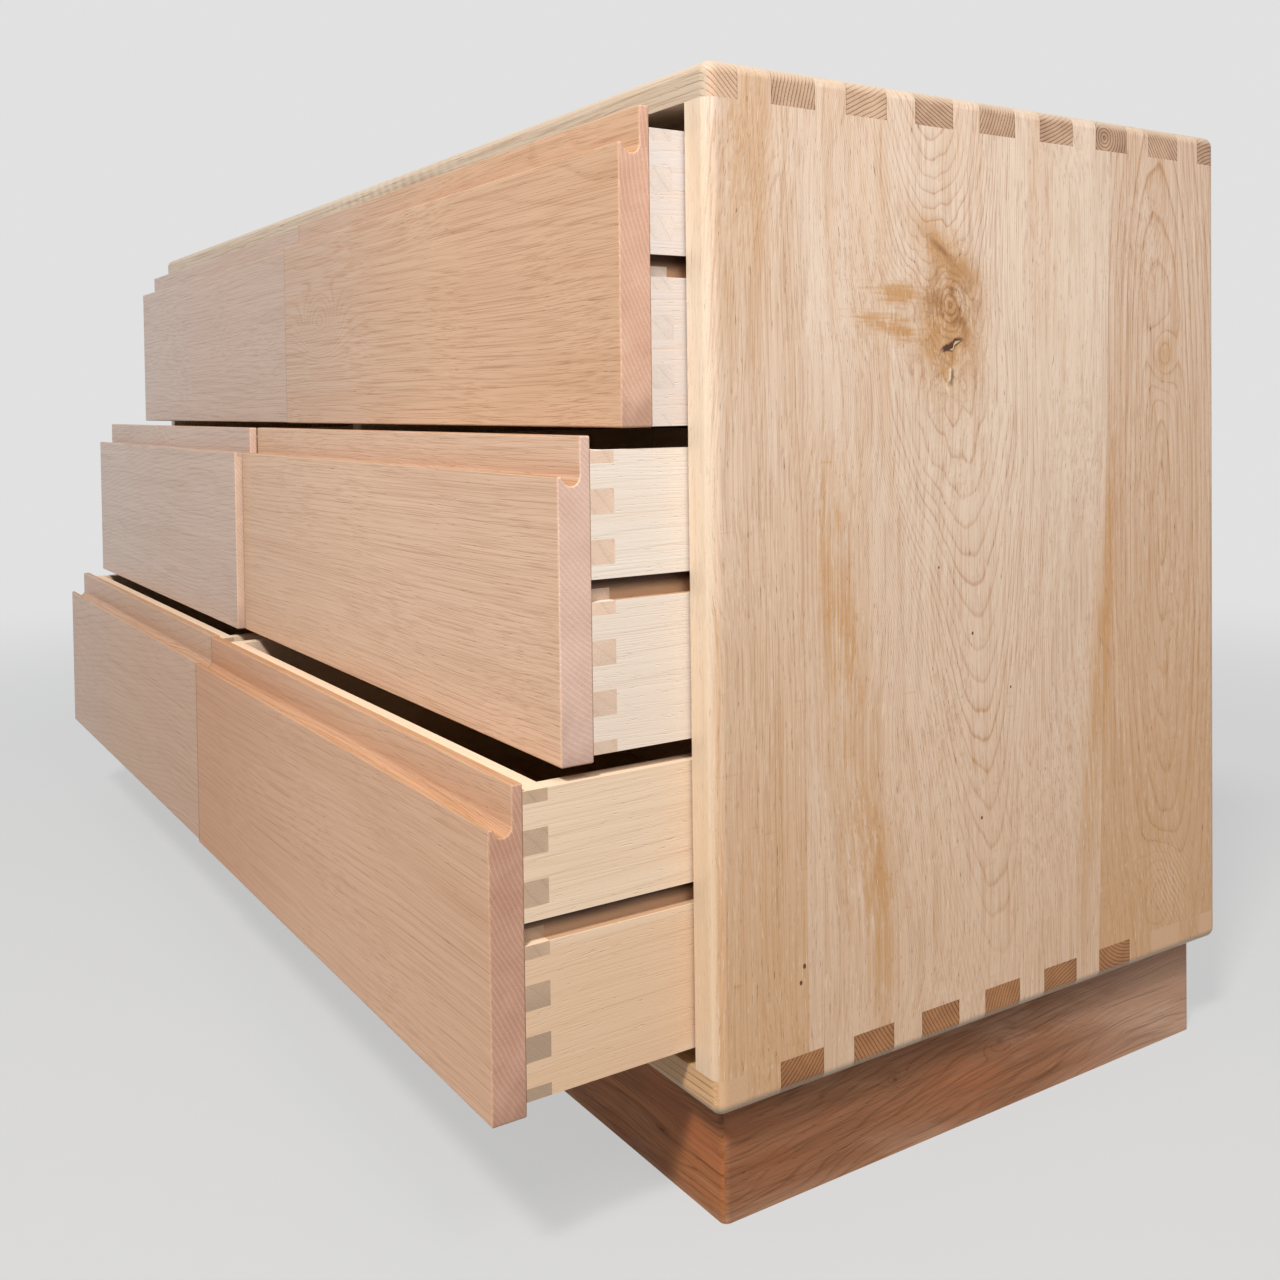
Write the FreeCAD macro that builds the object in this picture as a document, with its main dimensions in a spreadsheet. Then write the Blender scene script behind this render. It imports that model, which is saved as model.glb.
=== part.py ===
import FreeCAD, Part
import math
import os
import re
import Sketcher

# A low six-drawer dresser in solid wood. X runs along the width, the fronts face -Y and Z is up.
# The origin is on the floor, midway along the width and midway between the case's front and back.

# Driving sizes in millimetres, and counts
SIZES = [
    ("case_width", 1280, "outside width of the case"),
    ("case_depth", 500, "outside depth of the case"),
    ("case_height", 643, "outside height of the case, without the plinth"),
    ("board_thickness", 23, "top, bottom and sides"),
    ("outer_edge_radius", 8, "rounding of the case's outer edges"),
    ("joint_notch_count", 8, "notches in each end of the top and the bottom"),
    ("joint_notch_width", 25.7, "width of one notch, which a finger of the side fills"),
    ("joint_end_finger", 23.3, "narrow finger at the front and at the back"),
    ("divider_thickness", 20, "upright board between the two columns"),
    ("divider_housing", 5, "depth that the divider goes into top and bottom"),
    ("divider_setback", 3, "from the back of the closed fronts to the divider"),
    ("back_thickness", 6, "plywood back panel"),
    ("back_inset", 12, "from the back of the case to the back panel"),
    ("back_tongue", 5.5, "depth that the back panel goes into its grooves"),
    ("back_play", 0.5, "room at the bottom of those grooves"),
    ("plinth_height", 77, "height of the plinth"),
    ("plinth_inset", 15, "from the case's outside to the plinth, on all sides"),
    ("plinth_rail_thickness", 20, "plinth boards"),
    ("plinth_corner_radius", 5, "rounding of the plinth's corners"),
    ("corner_block_size", 45, "side of a square corner block"),
    ("corner_block_height", 40, "height of a corner block"),
    ("front_thickness", 22.5, "drawer fronts"),
    ("front_gap", 4, "above, below and between the fronts"),
    ("front_end_gap", 2, "between a front and the side of the case"),
    ("front_centre_gap", 2.5, "between the two fronts of a row"),
    ("front_edge_radius", 1.2, "eased edges of the fronts"),
    ("lip_drop", 23.3, "from the top of a front down to its front lip"),
    ("front_lip_width", 3.5, "flat top of the front lip"),
    ("back_lip_width", 7.3, "thickness of the lip behind the finger cove"),
    ("box_top_drop", 13.5, "height of a front less the height of its box"),
    ("box_lift_lowest", 8.4, "box above the lower edge of its front, bottom row"),
    ("box_lift_highest", 0.5, "box above the lower edge of its front, top row"),
    ("box_side_gap", 2.5, "running gap between a box and the case"),
    ("box_rear_gap", 12, "between a closed box and the back panel"),
    ("box_side_thickness", 13.5, "sides of the drawer boxes"),
    ("box_front_thickness", 16.5, "inner fronts of the drawer boxes"),
    ("box_back_thickness", 13.5, "backs of the drawer boxes"),
    ("box_notch_count", 6, "notches in each end of a box front or back"),
    ("box_notch_width", 15, "width of one notch, which a finger of the box side fills"),
    ("box_end_finger", 7.6, "narrow finger at the box's top and bottom"),
    ("groove_rise", 90.5, "from the box's lower edge to the runner groove"),
    ("groove_height", 13.5, "height of the runner groove"),
    ("groove_depth", 7, "depth of the runner groove"),
    ("runner_play_below", 0.8, "between a runner and the groove's lower wall"),
    ("runner_play_side", 1, "between a runner and the groove's bottom"),
    ("runner_rear_gap", 5, "between a runner and the back panel"),
    ("bottom_thickness", 6, "plywood drawer bottoms"),
    ("bottom_rise", 9, "from the box's lower edge to its bottom panel"),
    ("bottom_tongue", 6, "depth that a bottom goes into its grooves"),
    ("bottom_play", 0.5, "room at the bottom of those grooves"),
    ("screw_shank_radius", 1.75, "all screws"),
    ("screw_head_radius", 3.6, "all screws"),
    ("screw_head_height", 2.4, "all screws"),
    ("front_screw_length", 30, "through a box front into its drawer front"),
    ("front_screw_inset", 80, "from the box's outside"),
    ("front_screw_low", 40, "above the box's lower edge"),
    ("front_screw_spacing", 95, "between the lower and the upper screws"),
    ("runner_screw_length", 16, "through a runner into the board behind it"),
    ("runner_screw_inset", 60, "from each end of a runner"),
    ("plinth_screw_length", 55, "up through a corner block into the bottom"),
    ("open_top_left", 38.5, "how far this drawer stands open at rest"),
    ("open_top_right", 47, "how far this drawer stands open at rest"),
    ("open_middle_left", 98, "how far this drawer stands open at rest"),
    ("open_middle_right", 91.5, "how far this drawer stands open at rest"),
    ("open_bottom_left", 137.5, "how far this drawer stands open at rest"),
    ("open_bottom_right", 139.5, "how far this drawer stands open at rest"),
    ("overrun", 1, "how far every cut runs past what it cuts"),
]

# Sizes that follow from the driving ones
DERIVED = [
    ("half_width", "case_width / 2"),
    ("half_depth", "case_depth / 2"),
    ("opening_width", "case_width - 2 * board_thickness"),
    ("opening_height", "case_height - 2 * board_thickness"),
    ("half_opening", "opening_width / 2"),
    ("floor_level", "plinth_height + board_thickness"),
    ("ceiling_level", "floor_level + opening_height"),
    ("joint_pitch", "(case_depth - 2 * joint_end_finger - joint_notch_width) / (joint_notch_count - 1)"),
    ("back_face", "half_depth - back_inset"),
    ("back_front", "back_face - back_thickness"),
    ("back_reach", "back_tongue + back_play"),
    ("divider_front", "front_thickness + divider_setback - half_depth"),
    ("plinth_half_width", "half_width - plinth_inset"),
    ("plinth_half_depth", "half_depth - plinth_inset"),
    ("plinth_inner_half_width", "plinth_half_width - plinth_rail_thickness"),
    ("plinth_inner_half_depth", "plinth_half_depth - plinth_rail_thickness"),
    ("block_base", "plinth_height - corner_block_height"),
    ("front_height", "(opening_height - 4 * front_gap) / 3"),
    ("front_pitch", "front_height + front_gap"),
    ("front_width", "half_opening - front_end_gap - front_centre_gap / 2"),
    ("front_x_left", "front_end_gap - half_opening"),
    ("front_x_right", "front_centre_gap / 2"),
    ("front_z_bottom", "floor_level + front_gap"),
    ("front_z_middle", "front_z_bottom + front_pitch"),
    ("front_z_top", "front_z_middle + front_pitch"),
    ("lip_height", "front_height - lip_drop"),
    ("cove_edge", "front_thickness - back_lip_width"),
    ("box_width", "half_opening - divider_thickness / 2 - 2 * box_side_gap"),
    ("box_length", "back_front - box_rear_gap + half_depth - front_thickness"),
    ("box_height", "front_height - box_top_drop"),
    ("box_x_left", "box_side_gap - half_opening"),
    ("box_x_right", "divider_thickness / 2 + box_side_gap"),
    ("box_z_bottom", "front_z_bottom + box_lift_lowest"),
    ("box_z_top", "front_z_top + box_lift_highest"),
    ("box_z_middle", "(box_z_bottom + box_z_top) / 2"),
    ("box_notch_pitch", "(box_height - 2 * box_end_finger - box_notch_width) / (box_notch_count - 1)"),
    ("bottom_edge", "box_side_thickness - bottom_tongue"),
    ("bottom_front", "box_front_thickness - bottom_tongue"),
    ("bottom_length", "box_length - bottom_front - box_back_thickness + bottom_tongue"),
    ("runner_width", "box_side_gap + groove_depth - runner_play_side"),
    ("runner_height", "groove_height - runner_play_below"),
    ("runner_front", "front_thickness - half_depth"),
    ("runner_length", "back_front - runner_rear_gap - runner_front"),
    ("runner_rise", "groove_rise + runner_play_below"),
]

ROWS = ("bottom", "middle", "top")
COLUMNS = ("left", "right")

doc = FreeCAD.newDocument("Dresser")
sheet = doc.addObject("Spreadsheet::Sheet", "Sizes")
nodes = {}


def fill_sheet():
    """Write the driving sizes as plain numbers and the derived ones as formulas."""
    for line, (alias, value, note) in enumerate(SIZES, start=1):
        sheet.set(f"A{line}", note)
        sheet.set(f"B{line}", str(value))
        sheet.setAlias(f"B{line}", alias)
    for line, (alias, text) in enumerate(DERIVED, start=len(SIZES) + 1):
        sheet.set(f"A{line}", "derived")
        sheet.set(f"B{line}", "=" + text)
        sheet.setAlias(f"B{line}", alias)
    doc.recompute()


def formula(text):
    """An expression on the sheet's cells: each name in the text is an alias."""
    return re.sub(r"[a-z]\w*", r"Sizes.\g<0>", text)


def value(text):
    """The number that a formula gives now."""
    return float(sheet.evalExpression(formula(text)))


def place(thing, corner):
    """Bind where a piece stands: three formulas."""
    for axis, text in zip("xyz", corner):
        thing.setExpression("Placement.Base." + axis, formula(text))


def block(name, corner, size):
    """A rectangular board: the formulas of its lowest corner and of its size."""
    board = doc.addObject("Part::Box", name)
    for side, text in zip(("Length", "Width", "Height"), size):
        board.setExpression(side, formula(text))
    place(board, corner)
    return board


def block_row(name, count, pitch, axis, corner, size):
    """Equal blocks in a row along one axis (0, 1 or 2), a pitch apart."""
    blocks = []
    for index in range(int(value(count))):
        shifted = list(corner)
        shifted[axis] = f"{corner[axis]} + {index} * {pitch}"
        blocks.append(block(f"{name}_{index}", shifted, size))
    return blocks


def group(name, pieces):
    """Several separate solids as one object."""
    together = doc.addObject("Part::Compound", name)
    together.Links = pieces
    return together


def copy(name, master, corner):
    """A piece like another one, standing somewhere else."""
    twin = group(name, [master])
    place(twin, corner)
    return twin


def boolean(kind, name, base, tool):
    """A cut, a fuse or a common of two objects."""
    result = doc.addObject(kind, name)
    result.Base = base
    result.Tool = tool
    return result


def cut(name, base, tool):
    return boolean("Part::Cut", name, base, tool)


def screw(name, head, direction, length):
    """A countersunk wood screw: its head's face, the way it points, and its length."""
    turn = FreeCAD.Rotation(FreeCAD.Vector(0, 0, 1), FreeCAD.Vector(*direction))
    cone = doc.addObject("Part::Cone", name + "_head")
    cone.setExpression("Radius1", formula("screw_head_radius"))
    cone.setExpression("Radius2", formula("screw_shank_radius"))
    cone.setExpression("Height", formula("screw_head_height"))
    shank = doc.addObject("Part::Cylinder", name + "_shank")
    shank.setExpression("Radius", formula("screw_shank_radius"))
    shank.setExpression("Height", formula(length))
    for piece in (cone, shank):
        piece.Placement.Rotation = turn
        place(piece, head)
    return boolean("Part::Fuse", name, cone, shank)


def keep(node):
    """Name an object as one of the dresser's pieces."""
    nodes[node.Label] = node
    return node


def plane(body, role):
    """One of a body's own origin planes."""
    return next(face for face in body.Origin.OriginFeatures if face.Role == role)


def point(sketch, geometry, end, across, up):
    """Fix one end of a line at two formulas, counted from the sketch's origin."""
    for kind, axis, text in (("DistanceX", -2, across), ("DistanceY", -1, up)):
        if text == "0":
            sketch.addConstraint(Sketcher.Constraint("PointOnObject", geometry, end, axis))
            continue
        index = sketch.addConstraint(
            Sketcher.Constraint(kind, -1, 1, geometry, end, value(text)))
        name = f"{kind.lower()}_{index}"
        sketch.renameConstraint(index, name)
        sketch.setExpression("Constraints." + name, formula(text))


def profile(body, role, corners, cove=None):
    """A closed outline through corners given as formulas, on one of the body's planes.

    The side that starts at the corner numbered cove is a half-round hollow instead of a line.
    """
    sketch = body.newObject("Sketcher::SketchObject", body.Name + "_outline")
    sketch.AttachmentSupport = (plane(body, role), [""])
    sketch.MapMode = "FlatFace"
    spots = [FreeCAD.Vector(value(across), value(up), 0) for across, up in corners]
    count = len(spots)
    for index in range(count):
        start = spots[index]
        end = spots[(index + 1) % count]
        if index == cove:
            sketch.addGeometry(half_round(start, end))
        else:
            sketch.addGeometry(Part.LineSegment(start, end))
    ends = [(2, 1) if index == cove else (1, 2) for index in range(count)]
    for index in range(count):
        following = (index + 1) % count
        sketch.addConstraint(Sketcher.Constraint(
            "Coincident", index, ends[index][1], following, ends[following][0]))
    for index, (across, up) in enumerate(corners):
        if index == cove:
            continue
        point(sketch, index, 1, across, up)
    if cove is not None:
        previous = (cove - 1) % count
        point(sketch, previous, 2, *corners[cove])
        level_centre(sketch, cove, corners[cove][1])
    return sketch


def half_round(start, end):
    """The lower half of a circle between two level points, from the one with the larger X."""
    circle = Part.Circle((start + end) / 2, FreeCAD.Vector(0, 0, 1), (start - end).Length / 2)
    return Part.ArcOfCircle(circle, math.pi, 2 * math.pi)


def level_centre(sketch, index, up):
    """Keep the centre of the hollow level with its edges."""
    constraint = sketch.addConstraint(
        Sketcher.Constraint("DistanceY", -1, 1, index, 3, value(up)))
    sketch.renameConstraint(constraint, "cove_level")
    sketch.setExpression("Constraints.cove_level", formula(up))


def pad(body, sketch, length):
    """Draw the outline out to a solid."""
    solid = body.newObject("PartDesign::Pad", body.Name + "_pad")
    solid.Profile = sketch
    solid.setExpression("Length", formula(length))
    sketch.Visibility = False
    doc.recompute()
    return solid


def fillet(body, solid, edges, radius):
    """Round the edges of a body's solid that the test picks."""
    picked = [f"Edge{index}" for index, edge in enumerate(solid.Shape.Edges, start=1) if edges(edge)]
    rounding = body.newObject("PartDesign::Fillet", body.Name + "_rounding")
    rounding.Base = (solid, picked)
    rounding.setExpression("Radius", formula(radius))
    body.Tip = rounding
    return rounding


def is_upright(edge):
    """Whether a straight edge runs along Z."""
    first, last = (vertex.Point for vertex in edge.Vertexes)
    return abs((last - first).normalize().z) > 1 - Part.Precision.confusion()


def rounded_envelope(name, half_width, half_depth, base, height, edges, radius):
    """A rectangular block with rounded edges, the outside of the case or of the plinth."""
    body = doc.addObject("PartDesign::Body", name)
    corners = [("0", "0"), (f"2 * {half_width}", "0"),
               (f"2 * {half_width}", f"2 * {half_depth}"), ("0", f"2 * {half_depth}")]
    solid = pad(body, profile(body, "XY_Plane", corners), height)
    fillet(body, solid, edges, radius)
    place(body, (f"-{half_width}", f"-{half_depth}", base))
    return body


# Case

def case_board(name, base, envelope, tools):
    """The top or the bottom: notched at both ends, rounded outside, then cut for what it holds."""
    board = block(name + "_board", ("-half_width", "-half_depth", base),
                  ("case_width", "case_depth", "board_thickness"))
    size = ("board_thickness + overrun", "joint_notch_width", "board_thickness + 2 * overrun")
    first = "joint_end_finger - half_depth"
    notches = []
    for side, across in (("left", "-half_width - overrun"), ("right", "half_opening")):
        corner = (across, first, f"{base} - overrun")
        notches += block_row(f"{name}_notch_{side}", "joint_notch_count", "joint_pitch", 1, corner, size)
    comb = cut(name + "_comb", board, group(name + "_notches", notches))
    shape = boolean("Part::Common", name + "_rounded", comb, envelope)
    keep(cut_in_turn(name, shape, tools))
    return comb


def cut_in_turn(name, shape, tools):
    """Take several things out of a piece, one after the other."""
    for index, tool in enumerate(tools[:-1]):
        shape = cut(f"{name}_step_{index}", shape, tool)
    return cut(name, shape, tools[-1])


def case_side(side, combs, envelope, tools):
    """A side: a full board less the fingers of the top and of the bottom."""
    name = f"case_side_{side}"
    across = {"left": "-half_width", "right": "half_opening"}[side]
    shape = block(name + "_board", (across, "-half_depth", "plinth_height"),
                  ("board_thickness", "case_depth", "case_height"))
    for index, comb in enumerate(combs):
        shape = cut(f"{name}_joint_{index}", shape, comb)
    shape = boolean("Part::Common", name + "_rounded", shape, envelope)
    keep(cut_in_turn(name, shape, tools))


def back_panel():
    """The back panel and the stopped groove that holds it on four sides."""
    def panel(name, reach):
        return block(name, (f"-half_opening - {reach}", "back_front", f"floor_level - {reach}"),
                     (f"opening_width + 2 * {reach}", "back_thickness", f"opening_height + 2 * {reach}"))
    keep(panel("back_panel", "back_tongue"))
    return panel("back_groove", "back_reach")


def divider_board():
    """The upright board between the columns, let into the top and the bottom."""
    return block("divider_board", ("-divider_thickness / 2", "divider_front", "floor_level - divider_housing"),
                 ("divider_thickness", "back_front - divider_front", "opening_height + 2 * divider_housing"))


# Runners

# Each set of three runners: the plane that it is screwed to, and which way it stands out of it
RUNNER_SETS = {
    "side_left": ("-half_opening", 1),
    "divider_left": ("-divider_thickness / 2", -1),
    "divider_right": ("divider_thickness / 2", 1),
    "side_right": ("half_opening", -1),
}


def runner_set(name, wall, outward):
    """Three runners on one wall, one for each row, and their screws."""
    free_face = f"{wall} + runner_width" if outward > 0 else f"{wall} - runner_width"
    corner_x = wall if outward > 0 else free_face
    runners, screws = [], []
    for row in ROWS:
        level = f"box_z_{row} + runner_rise"
        blank = block(f"runner_{name}_{row}_blank", (corner_x, "runner_front", level),
                      ("runner_width", "runner_length", "runner_height"))
        spots = ("runner_front + runner_screw_inset", "runner_front + runner_length - runner_screw_inset")
        pair = [screw(f"runner_{name}_{row}_screw_{index}", (free_face, spot, f"{level} + runner_height / 2"),
                      (-outward, 0, 0), "runner_screw_length") for index, spot in enumerate(spots)]
        runners.append(cut(f"runner_{name}_{row}", blank, group(f"runner_{name}_{row}_screws", pair)))
        screws += pair
    keep(group(f"runners_{name}", runners))
    return screws


# Plinth

def mitred_rail(name, half_length, half_across, turn, envelope):
    """One plinth board with mitred ends, on the side that the turn about Z brings to the front."""
    rail = doc.addObject("Part::Wedge", name + "_board")
    for prop, text in (
            ("Xmin", f"-{half_length}"), ("Xmax", half_length),
            ("X2min", f"plinth_rail_thickness - {half_length}"),
            ("X2max", f"{half_length} - plinth_rail_thickness"),
            ("Ymin", f"-{half_across}"), ("Ymax", f"plinth_rail_thickness - {half_across}"),
            ("Zmin", "0 * plinth_height"), ("Zmax", "plinth_height"),
            ("Z2min", "0 * plinth_height"), ("Z2max", "plinth_height")):
        rail.setExpression(prop, formula(text))
    rail.Placement.Rotation = FreeCAD.Rotation(FreeCAD.Vector(0, 0, 1), turn)
    keep(boolean("Part::Common", name, rail, envelope))


def plinth():
    """Four mitred rails, a rail under the divider, and corner blocks with their screws."""
    envelope = rounded_envelope("plinth_envelope", "plinth_half_width", "plinth_half_depth",
                                "0 * plinth_height", "plinth_height", is_upright, "plinth_corner_radius")
    mitred_rail("plinth_front", "plinth_half_width", "plinth_half_depth", 0, envelope)
    mitred_rail("plinth_right", "plinth_half_depth", "plinth_half_width", 90, envelope)
    mitred_rail("plinth_back", "plinth_half_width", "plinth_half_depth", 180, envelope)
    mitred_rail("plinth_left", "plinth_half_depth", "plinth_half_width", 270, envelope)
    keep(block("plinth_centre_rail",
               ("-plinth_rail_thickness / 2", "-plinth_inner_half_depth", "0 * plinth_height"),
               ("plinth_rail_thickness", "2 * plinth_inner_half_depth", "plinth_height")))
    blocks, screws = [], []
    ends = {"left": "-plinth_inner_half_width", "right": "plinth_inner_half_width - corner_block_size"}
    sides = {"front": "-plinth_inner_half_depth", "back": "plinth_inner_half_depth - corner_block_size"}
    for end, across in ends.items():
        for side, along in sides.items():
            name = f"corner_block_{side}_{end}"
            blank = block(name + "_blank", (across, along, "block_base"),
                          ("corner_block_size", "corner_block_size", "corner_block_height"))
            head = (f"{across} + corner_block_size / 2", f"{along} + corner_block_size / 2", "block_base")
            upward = screw(name + "_screw", head, (0, 0, 1), "plinth_screw_length")
            blocks.append(cut(name, blank, upward))
            screws.append(upward)
    keep(group("plinth_corner_blocks", blocks))
    return keep(group("plinth_screws", screws))


# Drawers

def front_board():
    """A drawer front with its coved finger pull along the whole upper edge."""
    body = doc.addObject("PartDesign::Body", "front_blank")
    corners = [("0", "0"), ("front_thickness", "0"), ("front_thickness", "front_height"),
               ("cove_edge", "front_height"), ("cove_edge", "lip_height"),
               ("front_lip_width", "lip_height"), ("0", "lip_height")]
    solid = pad(body, profile(body, "YZ_Plane", corners, cove=4), "front_width")
    fillet(body, solid, is_sharp, "front_edge_radius")
    return body


def is_sharp(edge):
    """Whether an edge of a front is to be eased: not the smooth one behind the cove."""
    smooth = FreeCAD.Vector(0, value("cove_edge"), value("lip_height"))
    return any(abs(vertex.Y - smooth.y) + abs(vertex.Z - smooth.z) > Part.Precision.confusion()
               for vertex in edge.Vertexes)


def box_end(name, along, thickness):
    """The comb-ended board at the front or the back of a drawer box."""
    board = block(name + "_board", ("0", along, "0"), ("box_width", thickness, "box_height"))
    size = ("box_side_thickness + overrun", f"{thickness} + 2 * overrun", "box_notch_width")
    notches = []
    for side, across in (("left", "-overrun"), ("right", "box_width - box_side_thickness")):
        corner = (across, f"{along} - overrun", "box_end_finger")
        notches += block_row(f"{name}_notch_{side}", "box_notch_count", "box_notch_pitch", 2, corner, size)
    return cut(name + "_comb", board, group(name + "_notches", notches))


def box_bottom(name, play):
    """The bottom panel or, with play at its edges, the groove that holds it."""
    return block(name, (f"bottom_edge - {play}", f"bottom_front - {play}", "bottom_rise"),
                 (f"box_width - 2 * bottom_edge + 2 * {play}", f"bottom_length + 2 * {play}",
                  "bottom_thickness"))


def box_screws():
    """The four screws from inside the box front into the drawer front."""
    screws = []
    for end, across in (("left", "front_screw_inset"), ("right", "box_width - front_screw_inset")):
        for height, rise in (("low", "front_screw_low"), ("high", "front_screw_low + front_screw_spacing")):
            head = (across, "box_front_thickness", rise)
            screws.append(screw(f"front_screw_{end}_{height}", head, (0, -1, 0), "front_screw_length"))
    return group("box_screws", screws)


def drawer_box():
    """The pieces of one drawer box, which stands with its front left lower corner at the origin."""
    front_comb = box_end("box_front", "0", "box_front_thickness")
    back_comb = box_end("box_back", "box_length - box_back_thickness", "box_back_thickness")
    slot = box_bottom("box_bottom_groove", "bottom_play")
    screws = box_screws()
    grooves = {side: block(f"runner_groove_{side}", (across, "-overrun", "groove_rise"),
                           ("groove_depth + overrun", "box_length + 2 * overrun", "groove_height"))
               for side, across in (("left", "-overrun"), ("right", "box_width - groove_depth"))}
    both_grooves = group("runner_grooves", list(grooves.values()))
    pieces = {
        "box_front": cut_in_turn("box_front", front_comb, [both_grooves, slot, screws]),
        "box_back": cut_in_turn("box_back", back_comb, [both_grooves, slot]),
        "bottom": box_bottom("box_bottom", "0 * bottom_play"),
        "screws": screws,
    }
    for side, across in (("left", "0"), ("right", "box_width - box_side_thickness")):
        board = block(f"box_side_{side}_board", (across, "0", "0"),
                      ("box_side_thickness", "box_length", "box_height"))
        tools = [front_comb, back_comb, grooves[side], slot]
        pieces[f"side_{side}"] = cut_in_turn(f"box_side_{side}", board, tools)
    return pieces


def drawer(row, column, front, box):
    """One drawer: a copy of each piece of the box, and the front that is screwed to it."""
    name = f"drawer_{row}_{column}"
    face = f"-half_depth - open_{row}_{column}"
    corner = (f"box_x_{column}", f"{face} + front_thickness", f"box_z_{row}")
    for piece, master in box.items():
        keep(copy(f"{name}_{piece}", master, corner))
    blank = copy(name + "_front_blank", front, (f"front_x_{column}", face, f"front_z_{row}"))
    keep(cut(name + "_front", blank, nodes[f"{name}_screws"]))


def check(things):
    """Stop if a feature failed or a piece has no sound solid."""
    for thing in things:
        faults = {"Invalid", "Error"} & set(thing.State)
        if faults:
            raise RuntimeError(f"{thing.Label} is {', '.join(sorted(faults))}")
    for node in nodes.values():
        if node.Shape.isNull() or not node.Shape.Solids or not node.Shape.isValid():
            raise RuntimeError(f"{node.Label} has no sound solid")


fill_sheet()

case_envelope = rounded_envelope("case_envelope", "half_width", "half_depth", "plinth_height",
                                 "case_height", lambda edge: True, "outer_edge_radius")
groove = back_panel()
divider = divider_board()
plinth_screws = plinth()
screws_of = {name: runner_set(name, *wall) for name, wall in RUNNER_SETS.items()}
keep(group("runner_screws", [piece for pieces in screws_of.values() for piece in pieces]))

divider_screws = screws_of["divider_left"] + screws_of["divider_right"]
keep(cut("centre_divider", divider, group("divider_screws", divider_screws)))
top_comb = case_board("case_top", "ceiling_level", case_envelope, [groove, divider])
bottom_comb = case_board("case_bottom", "plinth_height", case_envelope,
                         [groove, divider, plinth_screws])
for side in COLUMNS:
    side_screws = group(f"case_side_{side}_screws", screws_of[f"side_{side}"])
    case_side(side, (top_comb, bottom_comb), case_envelope, [groove, side_screws])

front = front_board()
box = drawer_box()
for row in ROWS:
    for column in COLUMNS:
        drawer(row, column, front, box)

doc.recompute()
check(doc.Objects)

os.makedirs("parts", exist_ok=True)
for name, node in nodes.items():
    node.Shape.exportStep(f"parts/{name}.step")
print(f"{len(nodes)} pieces, {sum(len(node.Shape.Solids) for node in nodes.values())} solids")
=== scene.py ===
"""The looks of the dresser: woods for every board, the studio and the camera of the photograph."""
import math

import bpy
from mathutils import Matrix, Vector


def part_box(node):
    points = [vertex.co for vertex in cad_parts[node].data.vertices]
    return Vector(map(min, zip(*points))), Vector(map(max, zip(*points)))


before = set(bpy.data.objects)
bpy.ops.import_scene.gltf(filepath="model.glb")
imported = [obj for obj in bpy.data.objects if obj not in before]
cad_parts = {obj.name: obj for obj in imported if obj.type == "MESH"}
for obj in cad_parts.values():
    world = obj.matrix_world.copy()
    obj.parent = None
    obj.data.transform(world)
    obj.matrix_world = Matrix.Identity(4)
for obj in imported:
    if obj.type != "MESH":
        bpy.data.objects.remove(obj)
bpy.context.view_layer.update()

X, Y, Z = range(3)
MIX_FACTOR, MIX_FIRST, MIX_SECOND, MIX_RESULT = 0, 6, 7, 2
BUMP_STRENGTH = 0.6
BUMP_HEIGHT = 0.0003
COAT_ROUGHNESS = 0.18


class Wire:
    """A number inside a material, so that sums of nodes read like sums."""

    def __init__(self, graph, socket):
        self.graph = graph
        self.socket = socket

    def __add__(self, other):
        return self.graph.math("ADD", self, other)

    def __radd__(self, other):
        return self.graph.math("ADD", other, self)

    def __sub__(self, other):
        return self.graph.math("SUBTRACT", self, other)

    def __rsub__(self, other):
        return self.graph.math("SUBTRACT", other, self)

    def __mul__(self, other):
        return self.graph.math("MULTIPLY", self, other)

    def __rmul__(self, other):
        return self.graph.math("MULTIPLY", other, self)

    def __truediv__(self, other):
        return self.graph.math("DIVIDE", self, other)

    def __abs__(self):
        return self.graph.math("ABSOLUTE", self)


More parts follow.
